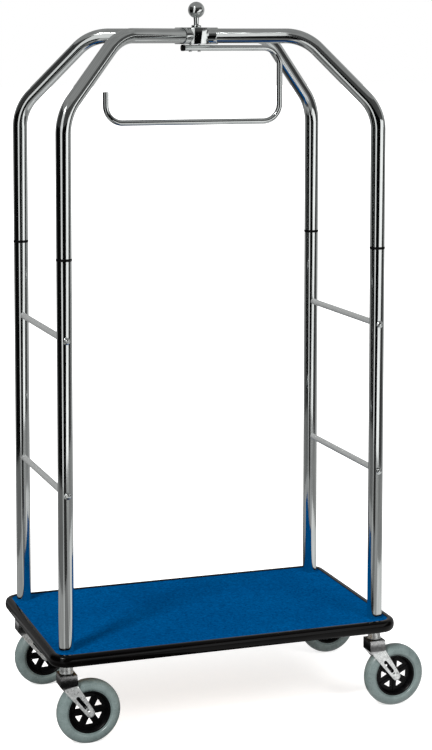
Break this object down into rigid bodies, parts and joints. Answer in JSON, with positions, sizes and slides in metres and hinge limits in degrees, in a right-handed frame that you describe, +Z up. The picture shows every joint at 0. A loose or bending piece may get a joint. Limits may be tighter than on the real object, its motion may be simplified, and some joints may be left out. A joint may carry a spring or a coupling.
{
  "type": "luggage cart",
  "caption": "Upright hotel luggage cart: carpeted deck on swivel casters, chrome corner posts that arch to a hub with a ball finial, side rails and a hanging garment rail.",
  "frame": {"origin": "on the floor, at the middle of the whole cart's box with all casters trailing towards +X; the deck's middle is 44.25 mm to -X of it", "axes": "+X along the deck, to the right seen from the front; +Y from front to back; +Z up"},
  "size_m": [1.0096, 0.563, 1.8335],
  "materials": {
    "chrome": "polished",
    "satin_steel": "satin",
    "zinc": "bright zinc plate, slightly grainy",
    "bumper": "semi-gloss",
    "black_plastic": "satin",
    "wheel_rim": "moulded, satin",
    "tyre": "soft grey, non-marking",
    "carpet": "short needle-felt pile",
    "plywood": "lacquered plywood"
  },
  "bodies": {
    "cart": {"deck_board": "plywood", "deck_carpet": "carpet", "deck_bumper": "bumper", "cross_channel_left": "satin_steel", "cross_channel_right": "satin_steel", "post_front_left": "chrome", "post_insert_front_left": "zinc", "joint_ring_front_left": "black_plastic", "post_front_right": "chrome", "post_insert_front_right": "zinc", "joint_ring_front_right": "black_plastic", "post_back_left": "chrome", "post_insert_back_left": "zinc", "joint_ring_back_left": "black_plastic", "post_back_right": "chrome", "post_insert_back_right": "zinc", "joint_ring_back_right": "black_plastic", "arch_tube_front_left": "chrome", "arch_tube_front_right": "chrome", "arch_tube_back_left": "chrome", "arch_tube_back_right": "chrome", "side_rail_upper_left": "satin_steel", "rail_bolt_upper_front_left": "chrome", "rail_bolt_upper_back_left": "chrome", "side_rail_upper_right": "satin_steel", "rail_bolt_upper_front_right": "chrome", "rail_bolt_upper_back_right": "chrome", "side_rail_lower_left": "satin_steel", "rail_bolt_lower_front_left": "chrome", "rail_bolt_lower_back_left": "chrome", "side_rail_lower_right": "satin_steel", "rail_bolt_lower_front_right": "chrome", "rail_bolt_lower_back_right": "chrome", "hub": "chrome", "finial": "chrome", "finial_collar": "chrome", "garment_rail": "chrome", "garment_rail_cap": "black_plastic", "garment_rail_screw_left": "zinc", "garment_rail_screw_right": "zinc", "caster_mount_front_left": "zinc", "caster_mount_front_right": "zinc", "caster_mount_back_left": "zinc", "caster_mount_back_right": "zinc"},
    "caster_front_left": {"caster_fork_front_left": "zinc", "caster_axle_front_left": "zinc"},
    "wheel_front_left": {"wheel_rim_front_left": "wheel_rim", "wheel_tyre_front_left": "tyre"},
    "caster_front_right": {"caster_fork_front_right": "zinc", "caster_axle_front_right": "zinc"},
    "wheel_front_right": {"wheel_rim_front_right": "wheel_rim", "wheel_tyre_front_right": "tyre"},
    "caster_back_left": {"caster_fork_back_left": "zinc", "caster_axle_back_left": "zinc"},
    "wheel_back_left": {"wheel_rim_back_left": "wheel_rim", "wheel_tyre_back_left": "tyre"},
    "caster_back_right": {"caster_fork_back_right": "zinc", "caster_axle_back_right": "zinc"},
    "wheel_back_right": {"wheel_rim_back_right": "wheel_rim", "wheel_tyre_back_right": "tyre"}
  },
  "joints": [
    {"name": "swivel_front_left", "type": "hinge", "parent": "cart", "child": "caster_front_left", "pos_m": [-0.45725, -0.225, 0.182], "axis": [0, 0, 1], "continuous": true},
    {"name": "roll_front_left", "type": "hinge", "parent": "caster_front_left", "child": "wheel_front_left", "pos_m": [-0.40225, -0.225, 0.081], "axis": [0, 1, 0], "continuous": true},
    {"name": "swivel_front_right", "type": "hinge", "parent": "cart", "child": "caster_front_right", "pos_m": [0.36875, -0.225, 0.182], "axis": [0, 0, 1], "continuous": true},
    {"name": "roll_front_right", "type": "hinge", "parent": "caster_front_right", "child": "wheel_front_right", "pos_m": [0.42375, -0.225, 0.081], "axis": [0, 1, 0], "continuous": true},
    {"name": "swivel_back_left", "type": "hinge", "parent": "cart", "child": "caster_back_left", "pos_m": [-0.45725, 0.225, 0.182], "axis": [0, 0, 1], "continuous": true},
    {"name": "roll_back_left", "type": "hinge", "parent": "caster_back_left", "child": "wheel_back_left", "pos_m": [-0.40225, 0.225, 0.081], "axis": [0, 1, 0], "continuous": true},
    {"name": "swivel_back_right", "type": "hinge", "parent": "cart", "child": "caster_back_right", "pos_m": [0.36875, 0.225, 0.182], "axis": [0, 0, 1], "continuous": true},
    {"name": "roll_back_right", "type": "hinge", "parent": "caster_back_right", "child": "wheel_back_right", "pos_m": [0.42375, 0.225, 0.081], "axis": [0, 1, 0], "continuous": true}
  ]
}
